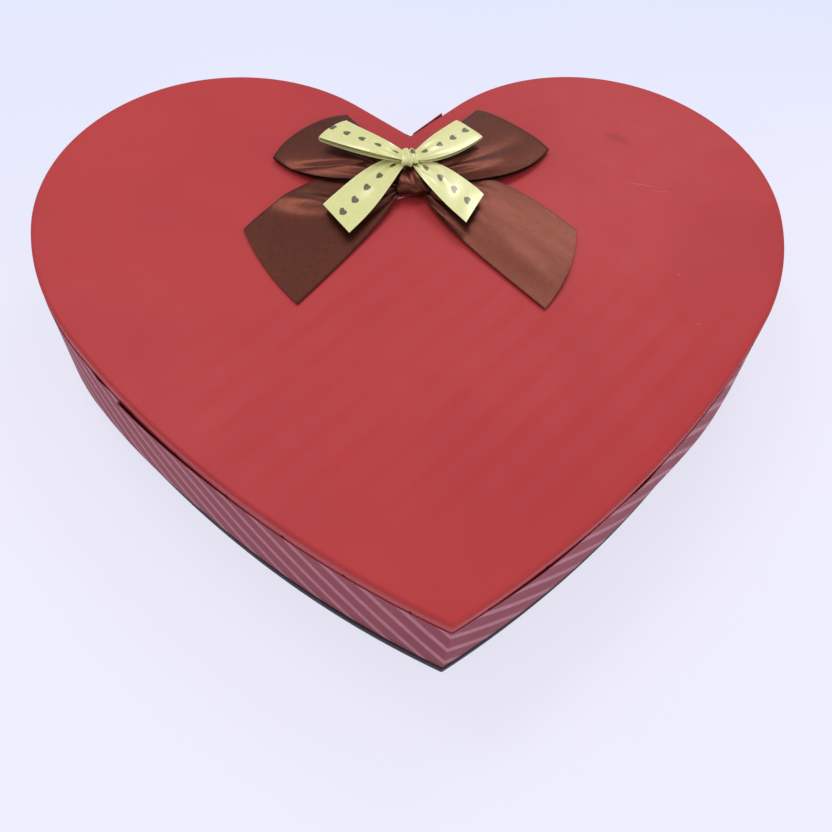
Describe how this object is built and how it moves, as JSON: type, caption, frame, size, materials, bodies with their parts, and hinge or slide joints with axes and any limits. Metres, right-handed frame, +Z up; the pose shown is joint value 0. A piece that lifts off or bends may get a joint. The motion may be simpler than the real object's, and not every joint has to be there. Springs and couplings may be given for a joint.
{
  "type": "heart gift box",
  "caption": "Heart-shaped gift box with a deep red lift-off lid, striped paper sides, a satin ribbon bow and a thin dark base with an inner tray.",
  "frame": {"origin": "middle of the face that the box stands on", "axes": "+Z up, heart's point towards -Y, lobes towards +Y, +X to the right as seen from the point"},
  "size_m": [0.2998, 0.2518, 0.0638],
  "materials": {
    "grey_board": "bare greyboard",
    "red_paper": "soft satin coated paper",
    "striped_paper": "matte paper with pale diagonal pinstripes",
    "black_paper": "matte black paper",
    "white_paper": "plain uncoated paper",
    "brown_satin": "brown satin ribbon",
    "yellow_satin": "pale yellow satin ribbon",
    "hot_glue": "clear hot-melt glue"
  },
  "bodies": {
    "base": {"base_board": "grey_board", "base_paper": "black_paper", "tray_wall_left": "grey_board", "tray_wall_right": "grey_board", "tray_paper_left": "white_paper", "tray_paper_right": "white_paper", "floor_lining": "white_paper"},
    "lid": {"lid_board": "grey_board", "lid_wall_left": "grey_board", "lid_wall_right": "grey_board", "lid_lining": "white_paper", "lid_cover_paper": "red_paper", "side_paper_left": "striped_paper", "side_paper_right": "striped_paper", "bow_tails": "brown_satin", "bow_loops": "brown_satin", "bow_knot": "brown_satin", "trim_tails": "yellow_satin", "trim_loops": "yellow_satin", "trim_knot": "yellow_satin", "glue_bead": "hot_glue"}
  },
  "joints": [
    {"name": "lid_lift", "type": "slide", "parent": "base", "child": "lid", "axis": [0, 0, 1], "range_m": [0, 0.12]}
  ]
}
